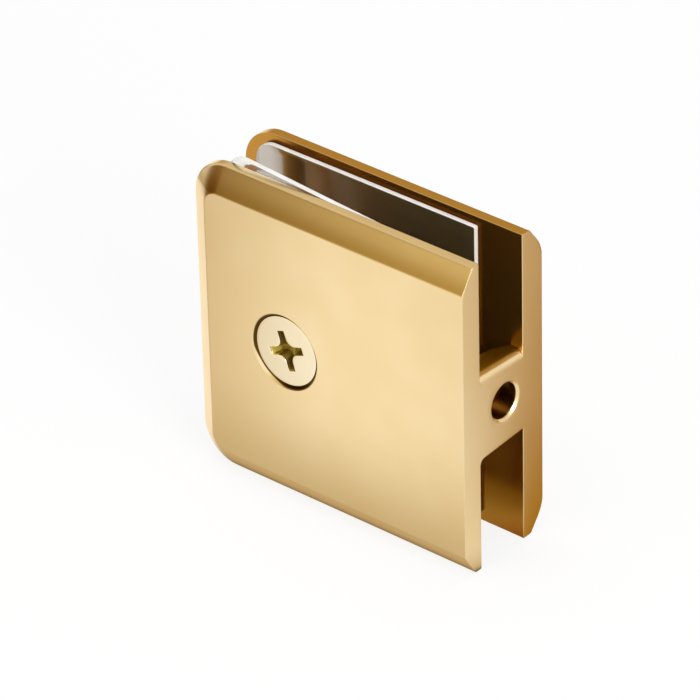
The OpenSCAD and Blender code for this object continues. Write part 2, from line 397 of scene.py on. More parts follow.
def dress(tree, shader, strength, depth, height, look, roughness):
    """Feeds a shader's colour, roughness and normal, the last from a bump with its depth in millimetres."""
    inputs = {"Strength": strength, "Distance": depth * MM, "Height": height}
    bump = add_node(tree, "ShaderNodeBump", inputs).outputs["Normal"]
    for label, value in (("Base Color", look), ("Roughness", roughness), ("Normal", bump)):
        feed(tree, shader.inputs[label], value)


# Materials

def slot_places(x, y):
    """Two masks: 1 on the slot's inner faces, and 1 on the lug's sides between them."""
    between = y.fade(FRONT_INNER_Y, -0.04, -0.01) * y.fade(REAR_INNER_Y, 0.04, 0.01)
    near_plates = y.fade(FRONT_INNER_Y, 0.1, 0.04).math("MAXIMUM", y.fade(REAR_INNER_Y, -0.1, -0.04))
    on_plates = between * near_plates
    on_lug = between - on_plates
    return on_plates * x.fade(body_high.x, -0.06, -0.2), on_lug * x.fade(body_high.x, -0.5, -1.1)


def bore_shade_places(x, y, z, settings):
    """Two masks of painted shade: 1 in the countersink, whose lower left edge is left out and stays bright,
    and 1 in the wall hole.
    """
    seat_radius = HEAD_RADIUS + settings.seat_gap
    towards_foot = (x - SCREW_X) * BRIGHT_SIDE_X + (z - SCREW_Z) * BRIGHT_SIDE_Z
    # The painted shade leaves out the countersink's lower left edge, which stays bright.
    bright_side = towards_foot.ramp(0.75 * seat_radius, 0.95 * seat_radius, 0.0, 0.2 * MM)
    deep = (y - bright_side).fade(body_low.y, 0.06, 0.2)
    near_seat = (x - SCREW_X).across(z - SCREW_Z).fade(seat_radius, 0.1, -0.05)
    countersink = deep * near_seat * y.fade(FRONT_INNER_Y, -0.02, -0.15)
    in_hole = y.across(z).fade(settings.wall_hole / 2, 0.08, 0.03)
    return countersink, in_hole * x.fade(body_high.x - settings.wall_chamfer, 0.0, -0.3)


def top_bevel_shade_place(x, y, z, settings):
    """Mask of the painted shade on the front plate's top bevel: it grows from 0 at the thin edge to 1 by the
    face.
    """
    foot = body_high.z - settings.front_bevel
    down = z.ramp(body_high.z - settings.front_ease, foot) * z.fade(foot, -0.4, -0.1)
    off_faces = y.fade(body_low.y, 0.02, 0.1) * y.fade(FRONT_INNER_Y, -0.02, -0.1)
    return down * off_faces * x.fade(body_high.x, -0.05, -0.15)


def satin_gold(settings):
    """Bead-blasted gold plating, with painted shade: deeper on the top bevel, dark brown on the slot's
    polished faces and dark in the bores.

    It is rubbed bright along its edges, and the slot's faces get more painted shade where another face
    mirrors them.
    """
    material, tree, shader = new_material("satin_gold_plating", Metallic=1.0)
    grain = place_group(
        tree, "bead_blast_grain", Pit_Scale=5200.0, Peel_Scale=520.0, Cloud_Scale=70.0, Peel_Share=0.35
    )
    edges = place_group(tree, "edge_wear", Radius=0.35 * MM, Reach=0.1, Break_Scale=700.0)["Mask"]
    dust = place_group(tree, "specks", Scale=400.0, Size=0.045, Share=0.3)["Mask"]
    x, y, z = object_axes(tree)[1:]
    polished, on_lug = slot_places(x, y)
    countersink, wall_bore_shade = bore_shade_places(x, y, z, settings)
    # Painted shade in the slot: dark brown faces, darker again in reflections.
    slot_look = layered(tree, settings.slot_shade_gold, (light_path(tree, "Is Glossy Ray"), settings.slot_shade))
    look = layered(
        tree, settings.deep_gold, (grain["Tone"], settings.gold), (edges * 0.35, settings.worn_gold),
        (dust * 0.7, DUST), (top_bevel_shade_place(x, y, z, settings), settings.bevel_painted_shade),
        (polished, slot_look), (on_lug, settings.lug_gold), (countersink, settings.seat_shade),
        (wall_bore_shade, settings.bore_shade),
    )
    outside = 1.0 - polished
    satin = grain["Tone"] * -0.04 + (settings.satin + 0.02) + edges * -0.05
    roughness = (satin - settings.polish) * outside + settings.polish
    dress(tree, shader, 0.12, 0.02, grain["Height"] * outside.ramp(0.0, 1.0, 0.25), look, roughness)
    feed(tree, shader.inputs["Metallic"], 1.0 - polished * 0.05)
    return material


def polished_gold(settings):
    """Paler turned and polished plating of the screw, with faint rings on its head and painted shade in its
    cross recess.
    """
    material, tree, shader = new_material("polished_gold_plating", Metallic=1.0)
    grain = place_group(
        tree, "bead_blast_grain", Pit_Scale=4200.0, Peel_Scale=420.0, Cloud_Scale=160.0, Peel_Share=0.8
    )
    edges = place_group(tree, "edge_wear", Radius=0.12 * MM, Reach=0.12, Break_Scale=1500.0)["Mask"]
    place, x, y, z = object_axes(tree)
    span, lip = settings.recess_span, settings.lip
    # Mask of the painted shade in the recess, which also makes it rougher.
    near_axis = (x - SCREW_X).across(z - SCREW_Z).ramp(span * 0.56, span * 0.53)
    recess = near_axis * y.ramp(screw_low.y + lip, screw_low.y + 4 * lip)
    look = layered(
        tree, tinted(settings.gold, 0.95), (grain["Tone"], settings.gold),
        (edges, tinted(settings.gold, 1.06)), (recess, settings.recess_shade),
    )
    centre = (SCREW_X, 0.0, SCREW_Z)
    centred = add_node(tree, "ShaderNodeVectorMath", {0: place, 1: centre}, operation="SUBTRACT")
    rings = add_node(
        tree, "ShaderNodeTexWave",
        {"Vector": centred.outputs["Vector"], "Scale": 1400.0, "Distortion": 1.5, "Detail": 1.0},
        wave_type="RINGS", rings_direction="Y",
    )
    roughness = grain["Tone"] * 0.06 + (settings.polish - 0.03) + recess * 0.28
    height = grain["Height"] + Wire(tree, rings.outputs["Fac"]) * 0.5
    dress(tree, shader, 0.08, 0.02, height, look, roughness)
    return material


def clear_vinyl(name, tint, clearness, glossy_front):
    """Clear sheet with slow waves, a little dust and haze, and where asked a bright gloss in front."""
    material, tree, shader = new_material(
        name, IOR=1.53, Transmission_Weight=clearness, Coat_IOR=4.3, Coat_Roughness=0.1
    )
    grain = place_group(
        tree, "bead_blast_grain", Pit_Scale=900.0, Peel_Scale=220.0, Cloud_Scale=90.0, Peel_Share=1.0
    )
    dust = place_group(tree, "specks", Scale=260.0, Size=0.03, Share=0.2)["Mask"]
    if glossy_front:
        normal = add_node(tree, "ShaderNodeNewGeometry").outputs["True Normal"]
        facing = add_node(tree, "ShaderNodeSeparateXYZ", {"Vector": normal}).outputs["Y"]
        feed(tree, shader.inputs["Coat Weight"], Wire(tree, facing).ramp(-0.5, -0.9))
    look = layered(tree, tinted(tint, 0.97), (grain["Tone"], tint))
    dress(tree, shader, 0.2, 0.05, grain["Height"], look, grain["Tone"] * 0.04 + 0.02 + dust * 0.4)
    return material


def frosted_edge(settings):
    """White frosted look of the sheet's cut edge, with painted shade: it is coloured dark in the plates'
    reflections.
    """
    material, tree, shader = new_material("frosted_vinyl_edge", IOR=1.5)
    grain = place_group(
        tree, "bead_blast_grain", Pit_Scale=7000.0, Peel_Scale=900.0, Cloud_Scale=300.0, Peel_Share=0.6
    )
    white = settings.edge_white
    look = layered(
        tree, tinted(white, 0.9), (grain["Tone"], white), (light_path(tree, "Is Glossy Ray"), EDGE_SHADE_IN_MIRRORS)
    )
    dress(tree, shader, 0.3, 0.03, grain["Height"], look, grain["Tone"] * 0.1 + 0.4)
    return material


# Mesh helpers

def pack(*columns):
    """Columns side by side in a new last axis, spread to one shape."""
    return np.stack(np.broadcast_arrays(*columns), axis=-1)


def grid_quads(rows, columns, closed_rows=False):
    """Corner numbers of a grid's quads: columns close into a ring, and rows close too where asked."""
    starts = np.arange(rows if closed_rows else rows - 1)
    row, column = np.meshgrid(starts, np.arange(columns), indexing="ij")
    here, below = row * columns, (row + 1) % rows * columns
    after = (column + 1) % columns
    return pack(here + column, here + after, below + after, below + column).reshape(-1, 4)


def fan_triangles(centre, first, columns, inward):
    """Corner numbers of the triangles that close one end row of a grid at a pole."""
    here = first + np.arange(columns)
    after = first + (np.arange(columns) + 1) % columns
    return pack(centre, after, here) if inward else pack(centre, here, after)


def capped_grid(rows, first_pole, last_pole):
    """Points, quads and triangles of a tube of rows that a pole closes at each end."""
    count, columns = rows.shape[:2]
    points = np.concatenate([rows.reshape(-1, 3), [first_pole, last_pole]])
    caps = np.concatenate([
        fan_triangles(count * columns, 0, columns, True),
        fan_triangles(count * columns + 1, (count - 1) * columns, columns, False),
    ])
    return points, grid_quads(count, columns), caps


def signed_volume(points, quads, triangles):
    """Volume inside a closed surface: a sixth of the sum of a . (b x c), negative for inward faces."""
    halves = np.concatenate([quads[:, [0, 1, 2]], quads[:, [0, 2, 3]], triangles])
    a, b, c = (points[halves[:, corner]] for corner in range(3))
    return np.einsum("ij,ij->", a, np.cross(b, c)) / 6


def mesh_object(name, points, quads, triangles=None, closed=True):
    """Puts arrays of points and faces into a mesh object at the origin, with its faces pointing outwards."""
    triangles = np.zeros((0, 3), int) if triangles is None else triangles
    if closed and signed_volume(points, quads, triangles) < 0:
        quads, triangles = quads[:, ::-1], triangles[:, ::-1]
    corners = np.concatenate([quads.ravel(), triangles.ravel()]).astype(np.int32)
    totals = np.repeat([4, 3], [len(quads), len(triangles)])
    mesh = bpy.data.meshes.new(name)
    mesh.vertices.add(len(points))
    mesh.vertices.foreach_set("co", points.astype(np.float32).ravel())
    mesh.loops.add(len(corners))
    mesh.loops.foreach_set("vertex_index", corners)
    mesh.polygons.add(len(totals))
    mesh.polygons.foreach_set("loop_start", (np.cumsum(totals) - totals).astype(np.int32))
    mesh.polygons.foreach_set("use_smooth", np.full(len(totals), True))
    mesh.update(calc_edges=True)
    if mesh.validate():
        raise RuntimeError(f"{name}: the mesh had bad faces")
    return linked_object(name, mesh)


def ring_object(name, rows):
    """A surface whose rows and columns both close."""
    return mesh_object(name, rows.reshape(-1, 3), grid_quads(*rows.shape[:2], closed_rows=True))


def linked_object(name, data):
    """An object in the scene."""
    made = bpy.data.objects.new(name, data)
    bpy.context.scene.collection.objects.link(made)
    return made


def loop_places(lengths, step, arc_steps=12):
    """Columns round a four-cornered outline, kept apart from its size.

    Each has two corners' numbers, a share and a normal. Corner k turns from 90 k to 90 k + 90 degrees, and
    the straight run after it, of the given length, is split evenly. A column lies at its share of the way
    from its first corner's arc to its second's.
    """
    first, second, shares, normals = [], [], [], []
    for number, length in enumerate(lengths):
        around = np.radians(np.linspace(90 * number, 90 * number + 90, arc_steps + 1))
        on_arc = pack(np.cos(around), np.sin(around))
        run = max(2, round(length / step))
        first.append(np.full(arc_steps + run, number))
        second.append(np.full(arc_steps + run, (number + 1) % 4))
        shares.append(np.concatenate([np.zeros(arc_steps + 1), np.arange(1, run) / run]))
        normals.append(np.concatenate([on_arc, np.repeat(on_arc[-1:], run - 1, axis=0)]))
    return tuple(np.concatenate(part) for part in (first, second, shares, normals))


def loop_points(places, centres, radii):
    """Rows of points round an outline: two corners' centres blended, plus normal times blended radius."""
    first, second, shares, normals = places
    centre = centres[:, first] * (1 - shares[:, None]) + centres[:, second] * shares[:, None]
    radius = radii[:, first] * (1 - shares) + radii[:, second] * shares
    return centre + normals * radius[..., None]


def rectangle_loop(places, low, high, radii):
    """Rows of points round rectangles, from their low and high sides and four corner radii."""
    first, second, third, fourth = radii.T
    near_x = pack(high[0] - first, low[0] + second, low[0] + third, high[0] - fourth)
    near_z = pack(high[1] - first, high[1] - second, low[1] + third, low[1] + fourth)
    return loop_points(places, pack(near_x, near_z), radii)


def unit(points):
    """Directions from the axis to points in plan."""
    return points / np.linalg.norm(points, axis=-1, keepdims=True)


def at_screw(plan, y):
    """Points in space from a plan round the screw's axis and a depth."""
    return pack(SCREW_X + plan[..., 0], y, SCREW_Z + plan[..., 1])


def quarter(steps):
    """1 - sin and 1 - cos of the angles from 0 to 90 degrees: the two ways across a quarter circle."""
    turn = np.linspace(0, math.pi / 2, steps + 1)
    return 1 - np.sin(turn), 1 - np.cos(turn)


def rim_rows(radius, rounding, steps=4):
    """Rounded rim of a 45 degree cone: radius and depth, from the face down onto the cone."""
    turn = np.linspace(0, math.pi / 4, steps + 1)
    start = radius + rounding * math.tan(math.pi / 8)
    return start - rounding * np.sin(turn), rounding * (1 - np.cos(turn))


def soft_step(value):
    """0 below 0, 1 above 1 and a smooth cubic between."""
    held = np.clip(value, 0, 1)
    return held * held * (3 - 2 * held)


# Casting

def edge_profile(settings, side, thickness):
    """Border of a plate as rows of inset and depth, from its inner face to its outer face.

    A quarter circle rounds the inner edge, an arc eases the thin edge into the bevel, and a last arc blends
    the bevel into the face. Each arc is a centre plus its radius times a sine and a cosine.
    """
    names = ("edge", "bevel", "blend", "ease")
    edge, bevel, blend, ease = (getattr(settings, f"{side}_{name}") for name in names)
    slope = math.atan2(thickness - edge, bevel)
    inner = settings.wear * pack(*quarter(4))
    ease_turn = math.pi / 2 - slope
    turn = np.linspace(0, ease_turn, 7)
    ease_depth = edge - ease * math.tan(ease_turn / 2)
    eased = pack(ease * (1 - np.cos(turn)), ease_depth + ease * np.sin(turn))
    turn = np.linspace(-slope, 0, 9)
    blend_inset = bevel + blend * math.tan(slope / 2)
    blended = pack(blend_inset + blend * np.sin(turn), thickness - blend + blend * np.cos(turn))
    along = np.array([0.03, 0.35, 0.7, 0.97])[:, None]
    sloped = eased[-1] + (blended[0] - eased[-1]) * along
    return np.concatenate([inner, eased, sloped, blended])


def rounding_inset(depth, radius):
    """Inset of a rounded edge at a depth below its face: radius - sqrt(radius^2 - (radius - depth)^2)."""
    reach = np.clip(radius - depth, 0, radius)
    return radius - np.sqrt(radius**2 - reach**2)


def plate_rows(profile, thickness, hole_rows, face_shares, settings):
    """Rows of a plate in plan and depth: its border's profile, its outer face, then rows to the hole.

    A hole row is (share, radius, depth, inset). Share 0 lies on the outline, and share 1 on the circle round
    the screw.
    """
    border = pack(0, 0, profile[:, 1], profile[:, 0])
    outer = pack(face_shares, hole_rows[0][1], thickness, profile[-1, 0])
    share, radius, depth, inset = np.concatenate([border, outer, hole_rows]).T
    wall_inset = rounding_inset(depth, settings.wear) + rounding_inset(thickness - depth, settings.wear)
    free_corner = settings.corner - inset
    radii = pack(settings.wear, free_corner, free_corner, settings.wear)
    lengths = [body_high.x - body_low.x - settings.corner, body_high.z - body_low.z - 2 * settings.corner]
    outline = rectangle_loop(
        loop_places(lengths * 2, OUTLINE_STEP),
        (body_low.x - SCREW_X + inset, body_low.z - SCREW_Z + inset),
        (body_high.x - SCREW_X - wall_inset, body_high.z - SCREW_Z - inset),
        radii,
    )
    return towards_axis(outline, unit(outline[:1]), share, radius), depth


def towards_axis(outline, toward, share, radius):
    """Rows between an outline, at share 0, and circles round the axis, at share 1."""
    return outline * (1 - share[:, None, None]) + toward * (radius * share)[:, None, None]


def front_plate(settings):
    """Front plate: a ring round the screw, whose section runs round border, face and countersunk hole."""
    thickness = FRONT_INNER_Y - body_low.y
    shank_radius = THREAD_CREST + settings.shank_gap
    lip = settings.wear / 2
    rim_radius, rim_depth = rim_rows(HEAD_RADIUS + settings.seat_gap, lip)
    cone = np.linspace(rim_radius[-1], shank_radius, 5)[1:]
    cone_depth = rim_depth[-1] + rim_radius[-1] - cone
    shank_depth = np.array([0.6, 0.25]) * (thickness - cone_depth[-1])
    inward, outward = quarter(3)
    radius = np.concatenate([
        rim_radius, cone, [shank_radius] * 2, shank_radius + lip * outward, [shank_radius + lip] * 2
    ])
    depth = np.concatenate([thickness - rim_depth, thickness - cone_depth, shank_depth, lip * inward, [0, 0]])
    share = np.ones(len(radius))
    share[-2:] = 0.66, 0.33
    profile = edge_profile(settings, "front", thickness)
    hole_rows = pack(share, radius, depth, settings.wear)
    plan, depth = plate_rows(profile, thickness, hole_rows, np.array([0.02, 0.33, 0.66]), settings)
    return ring_object("front_plate", at_screw(plan, FRONT_INNER_Y - depth[:, None]))


def rear_plate(settings):
    """Rear plate: rows from the middle of its back, over the rolled bevel and inner face, down the hole."""
    thickness = body_high.y - REAR_INNER_Y
    profile = edge_profile(settings, "rear", thickness)
    back = np.array([[1.0, BACK_FAN_RADIUS, thickness, profile[-1, 0]]])
    plan, depth = plate_rows(profile, thickness, back, np.array([0.02, 0.35, 0.7]), settings)
    bore_radius = THREAD_CREST + THREAD_CLEARANCE
    hole_depth = screw_high.y + settings.tip_gap - REAR_INNER_Y
    lip = settings.wear
    inward, outward = quarter(3)
    radius = np.concatenate([
        [bore_radius + lip] * 2, bore_radius + lip * inward, [bore_radius] * 2, [bore_radius * 0.5]
    ])
    hole_y = np.concatenate([[0, 0], lip * outward, [hole_depth * 0.5, hole_depth, hole_depth]])
    share = np.ones(len(radius))
    share[:2] = 0.33, 0.66
    inside = towards_axis(plan[0], unit(plan[0]), share, radius)
    plan = np.concatenate([plan[::-1], inside])
    depth = np.concatenate([depth[::-1], hole_y])
    poles = [[SCREW_X, y, SCREW_Z] for y in (body_high.y, REAR_INNER_Y + hole_depth)]
    return mesh_object("rear_plate", *capped_grid(at_screw(plan, REAR_INNER_Y + depth[:, None]), *poles))


def lug(settings, sink):
    """Lug between the plates: a ring round the wall screw's hole, sunk into both plates.

    Its outline tapers towards the rear plate. Its section runs over the wall face, round an edge that is
    widest along the top, along the side, and back over the inner side, which is flat and then follows a
    circle: depth less nose - sqrt(nose^2 - run^2).
    """
    low_y, high_y = FRONT_INNER_Y - sink, REAR_INNER_Y + sink
    behind = np.array([high_y, low_y]) - FRONT_INNER_Y
    height = settings.lug_height / 2 - behind * math.tan(settings.lug_taper)
    hidden, wear = settings.lug_corner, settings.wear
    far, near = height - hidden
    low, high = low_y + hidden, high_y - hidden
    centres = np.array([[high, far], [low, near], [low, -near], [high, -far]])
    places = loop_places([high_y - low_y, 2 * height[1], high_y - low_y, 2 * height[0]], LUG_STEP, 6)
    outline = loop_points(places, centres[None], np.full((1, 4), hidden))[0]
    outward = places[3]
    edge = wear + (hidden - wear) * np.clip(outward[:, 1], 0, 1)
    toward = unit(outline)
    nose_start = (REAR_INNER_Y + FRONT_INNER_Y) / 2

    def inner_side(plan):
        run = np.clip(plan[..., 0] - nose_start, 0, settings.lug_nose * 0.99)
        return -settings.lug_depth + settings.lug_nose - np.sqrt(settings.lug_nose**2 - run**2)

    mouth, mouth_depth = rim_rows(settings.wall_hole / 2 + settings.wall_chamfer, wear / 2)
    shares = np.linspace(1, 0, 6)[1:-1, None, None]
    wall_face = toward * mouth[0] * shares + (outline - outward * edge[:, None]) * (1 - shares)
    inward, down = (way[:, None] * edge for way in quarter(6))
    edge_plan = outline - outward * inward[..., None]
    side_x = (inner_side(outline) + wear + down[-1]) * np.array([0.3, 0.7])[:, None] - down[-1]
    back_up, back_in = (way[:, None] * wear for way in quarter(3))
    back_plan = outline - outward * back_in[..., None]
    hole_ring = toward * settings.wall_hole / 2
    shares = np.linspace(0, 1, 9)[1:, None, None]
    inner_plan = back_plan[-1] * (1 - shares) + hole_ring * shares
    inner_x = inner_side(inner_plan)
    bore_x = inner_x[-1] - (settings.wall_chamfer + inner_x[-1]) * np.array([0.35, 0.7, 1.0])[:, None]
    sections = (
        (wall_face, 0.0), (edge_plan, -down), (outline[None], side_x),
        (back_plan, inner_side(back_plan) + back_up), (inner_plan, inner_x), (hole_ring[None], bore_x),
        (toward * mouth[::-1, None, None], -mouth_depth[::-1, None]),
    )
    rows = [pack(body_high.x + depth, plan[..., 0], plan[..., 1]) for plan, depth in sections]
    return ring_object("lug", np.concatenate(rows))


def lug_fillet(settings, sink):
    """Fillet under the lug: a hollow quarter circle and the block behind it, carried along X."""
    radius = settings.lug_fillet
    under = -settings.lug_height / 2 + radius * math.tan(settings.lug_taper)
    back, down = quarter(8)
    hollow = pack(FRONT_INNER_Y + radius * back, under - radius * down)
    sunk = FRONT_INNER_Y - sink
    block = [[sunk, under - radius], [sunk, under + sink], [FRONT_INNER_Y + radius, under + sink]]
    y, z = np.concatenate([hollow, block]).T
    x = body_high.x - settings.lug_depth * np.array([1.0, 0.5, 0.0])[:, None]
    poles = [[end, FRONT_INNER_Y - sink / 2, under + sink / 2] for end in (x[0, 0], x[-1, 0])]
    return mesh_object("fillet", *capped_grid(pack(x, y, z), *poles))


def joined_casting(name, pieces):
    """One closed mesh: the union of overlapping closed pieces."""
    whole = pieces[0]
    for piece in pieces[1:]:
        union = whole.modifiers.new("join", "BOOLEAN")
        union.operation = "UNION"
        union.solver = "MANIFOLD"
        union.object = piece
    bpy.context.view_layer.update()
    evaluated = whole.evaluated_get(bpy.context.evaluated_depsgraph_get())
    mesh = bpy.data.meshes.new_from_object(evaluated)
    for piece in pieces:
        bpy.data.objects.remove(piece)
    mesh.name = name
    return linked_object(name, mesh)


# Screw

def recess_outline(turn, reach, half_arm):
    """Distance from the axis to the cross recess's outline at each angle.

    Folded onto one eighth of a turn, the outline is the arm's flat end (reach / cos), then its side
    (half arm / sin), then the hollow circle between two arms, whose middle lies on the diagonal.
    """
    folded = np.abs((turn + math.pi / 4) % (math.pi / 2) - math.pi / 4)
    hollow_radius = (reach - half_arm) * HOLLOW_SHARE
    corner = half_arm + hollow_radius
    diagonal = corner * math.sqrt(2)
    end = reach / np.cos(folded)
    side = half_arm / np.maximum(np.sin(folded), 1e-6)
    off_diagonal = math.pi / 4 - folded
    inside = np.maximum(hollow_radius**2 - (diagonal * np.sin(off_diagonal)) ** 2, 0)
    hollow = diagonal * np.cos(off_diagonal) - np.sqrt(inside)
    return np.minimum(end, np.where(np.tan(folded) < half_arm / corner, side, hollow))


def recess_angles(reach, half_arm, steps):
    """Angles round the screw, closer together where an arm's end and sides turn."""
    tip = math.atan2(half_arm, reach)
    side = math.atan2(half_arm, half_arm + (reach - half_arm) * HOLLOW_SHARE)
    spans = ((0, tip, steps // 3), (tip, side, steps // 2), (side, math.pi / 4, steps))
    eighth = np.concatenate([np.linspace(*span, endpoint=False) for span in spans])
    fourth = np.concatenate([eighth, [math.pi / 4], math.pi / 2 - eighth[:0:-1]])
    return (fourth[None, :] + np.arange(4)[:, None] * math.pi / 2).ravel()


def thread_radius(turn, depth, start, length, settings):
    """Radius of the thread's skin: the crest less a V whose place moves one pitch along in a full turn.

    The V's floor and crest are flat, it grows in under the head, and a chamfer cuts it at the tip.
    """
    place = (depth / settings.pitch + turn / TWO_PI) % 1.0
    valley = np.clip((np.abs(2 * place - 1) - THREAD_FLAT) / THREAD_FLANK, 0, 1)
    grown = soft_step((depth - start) / settings.pitch)
    skin = THREAD_CREST - settings.thread_depth * (1 - valley) * grown
    return np.minimum(skin, THREAD_CREST - settings.tip_chamfer + (length - depth))


def screw_points(settings):
    """Rows of points from the recess's floor, out over the head, down the cone and thread, to the tip.

    Each row is a closed curve round the axis: its radius at every angle and its depth below the head's top.
    """
    length = screw_high.y - screw_low.y
    reach, half_arm = settings.recess_span / 2, settings.recess_arm / 2
    taper, lip = settings.recess_taper, settings.lip
    turn = recess_angles(reach, half_arm, 18)
    outline = recess_outline(turn, reach, half_arm)
    middle = settings.recess_depth
    floor = middle * WALL_DEPTH_SHARE
    floor_share = np.array([0.3, 0.6, 0.85, 1.0])[:, None]
    wall_depth = floor + (lip - floor) * np.linspace(0, 1, 8)[1:, None]
    lip_up, lip_out = (lip * way[1:, None] for way in quarter(4))
    mouth = outline * (1 - taper * lip / floor)
    rim_middle = HEAD_RADIUS - settings.rim * math.tan(math.radians(67.5))
    rim_turn = np.radians(np.linspace(0, 135, 9)[1:, None])
    rim = rim_middle + settings.rim * np.sin(rim_turn)
    rim_depth = settings.rim * (1 - np.cos(rim_turn))
    neck = HEAD_RADIUS - THREAD_CREST
    share = np.linspace(0, 1, 8)[1:, None]
    thread_rows = int((length - neck) / (settings.pitch / ROWS_PER_TURN))
    thread_depth = np.linspace(neck, length, thread_rows)[1:, None]
    thread = thread_radius(turn, thread_depth, neck, length, settings)
    sections = (
        (outline * (1 - taper) * floor_share, middle + (floor - middle) * floor_share),
        (outline * (1 - taper * wall_depth / floor), wall_depth),
        (mouth + lip_out, lip_up),
        (mouth + lip + (rim_middle - mouth - lip) * np.linspace(0, 1, 9)[1:, None], 0.0),
        (rim, rim_depth),
        (rim[-1] + (THREAD_CREST - rim[-1]) * share, rim_depth[-1] + (neck - rim_depth[-1]) * share),
        (thread, thread_depth),
        (thread[-1] * np.array([0.7, 0.35])[:, None], length),
    )
    around = turn + settings.recess_turn
    rows = [
        pack(SCREW_X + radius * np.cos(around), screw_low.y + depth, SCREW_Z + radius * np.sin(around))
        for radius, depth in sections
    ]
    poles = [[SCREW_X, y, SCREW_Z] for y in (screw_low.y + middle, screw_high.y)]
    return np.concatenate(rows), poles


# Gaskets

def sheet_section(edge, half_thickness):
    """One loop round the sheet's section, as rows of share (0 at the hole, 1 at the outline), inset, height.

    It runs along the front face, round the rounded outer edge, back along the rear face and round the hole's
    edge. The second result marks the faces of both cut edges.
    """
    face = np.linspace(0, 1, 21)
    inset, drop = (edge * way[1:] for way in quarter(4))
    height = half_thickness - drop
    rows = np.concatenate([
        pack(face, edge, half_thickness), pack(1.0, inset, height), pack(1.0, inset, -height)[::-1],
        pack(face[::-1], edge, -half_thickness), pack(0.0, inset, -height), pack(0.0, inset, height)[::-1],
    ])
    count = len(face)
    is_edge = np.zeros(len(rows), bool)
    is_edge[count - 1:count + 8] = True
    is_edge[2 * count + 7:] = True
    return rows, is_edge


def ripple(x, z, phase):
    """Slow waves of the sheet, from 0 to 1: two crossing sines of different length."""
    along, up, steep, back = (TWO_PI / length for length in WAVE_LENGTHS)
    first = np.sin(x * along + z * up + phase)
    second = np.sin(z * steep - x * back + 2 * phase)
    return 0.5 + 0.3 * first + 0.2 * second


def gasket_object(name, settings, low_y, high_y, shift, lift, turn, side, phase):
    """One closed sheet: its section loop carried round the outline, each point between hole and outline."""
    low_x, high_x = rear_sheet_low.x - SCREW_X, rear_sheet_high.x - settings.trim - SCREW_X
    low_z, high_z = rear_sheet_low.z, rear_sheet_high.z
    places = loop_places([high_x - low_x, high_z - low_z] * 2, OUTLINE_STEP)
    radii = np.array([[settings.end_corner, settings.corner, settings.corner, settings.end_corner]])
    outline = rectangle_loop(places, (low_x, low_z), (high_x, high_z), radii)[0]
    section, is_edge = sheet_section(settings.edge, (high_y - low_y) / 2 - settings.air)
    part, inset, height = (column[:, None, None] for column in section.T)
    at_hole = unit(outline) * (settings.hole / 2 + inset)
    at_rim = outline - places[3] * inset
    plan = at_hole * (1 - part) + at_rim * part
    x, z = plan[..., 0] + shift, plan[..., 1] + lift
    wave = ripple(x, z, phase) * settings.ripple * side
    turned = pack(x * math.cos(turn) - z * math.sin(turn), x * math.sin(turn) + z * math.cos(turn))
    rows = at_screw(turned, (low_y + high_y) / 2 - height[..., 0] + wave)
    made = ring_object(name, rows)
    made.data.polygons.foreach_set("material_index", np.repeat(is_edge, rows.shape[1]).astype(np.int32))
    return made


# Studio

def bare_material(made, name, surface):
    """Gives an object a material with only the surface that a function makes from its tree."""
    material = bpy.data.materials.new(name)
    material.use_nodes = True
    tree = material.node_tree
    tree.nodes.clear()
    add_node(tree, "ShaderNodeOutputMaterial", {"Surface": surface(tree).outputs[0]})
    made.data.materials.append(material)


def shade_card(name, corners, start_tone, end_tone, start, end):
    """A flat card that only reflections see, a painted reflection of light or shade: one tone up to a share
    of its width, another past a second.
    """
    card = mesh_object(name, np.array(corners, float) * MM, np.array([[0, 1, 2, 3]]), closed=False)
    attribute = card.data.attributes.new("along", "FLOAT", "POINT")
    attribute.data.foreach_set("value", [0.0, 1.0, 1.0, 0.0])
    for rays in ("camera", "diffuse", "transmission", "shadow"):
        setattr(card, f"visible_{rays}", False)

    def surface(tree):
        along = Wire(tree, add_node(tree, "ShaderNodeAttribute", attribute_name="along").outputs["Fac"])
        tone = layered(tree, start_tone, (along.ramp(start, end), end_tone))
        return add_node(tree, "ShaderNodeEmission", {"Color": tone})

    bare_material(card, name, surface)


def seen_rays(tree):
    """1 for rays that carry the picture: from the camera, by a reflection or through glass."""
    seen = light_path(tree, "Is Camera Ray").math("MAXIMUM", light_path(tree, "Is Glossy Ray"))
    return seen.math("MAXIMUM", light_path(tree, "Is Transmission Ray"))


def outside_span(value, low, high):
    """How far a coordinate lies outside a span."""
    return ((value - (low + high) / 2).math("ABSOLUTE") - (high - low) / 2).math("MAXIMUM", 0.0)


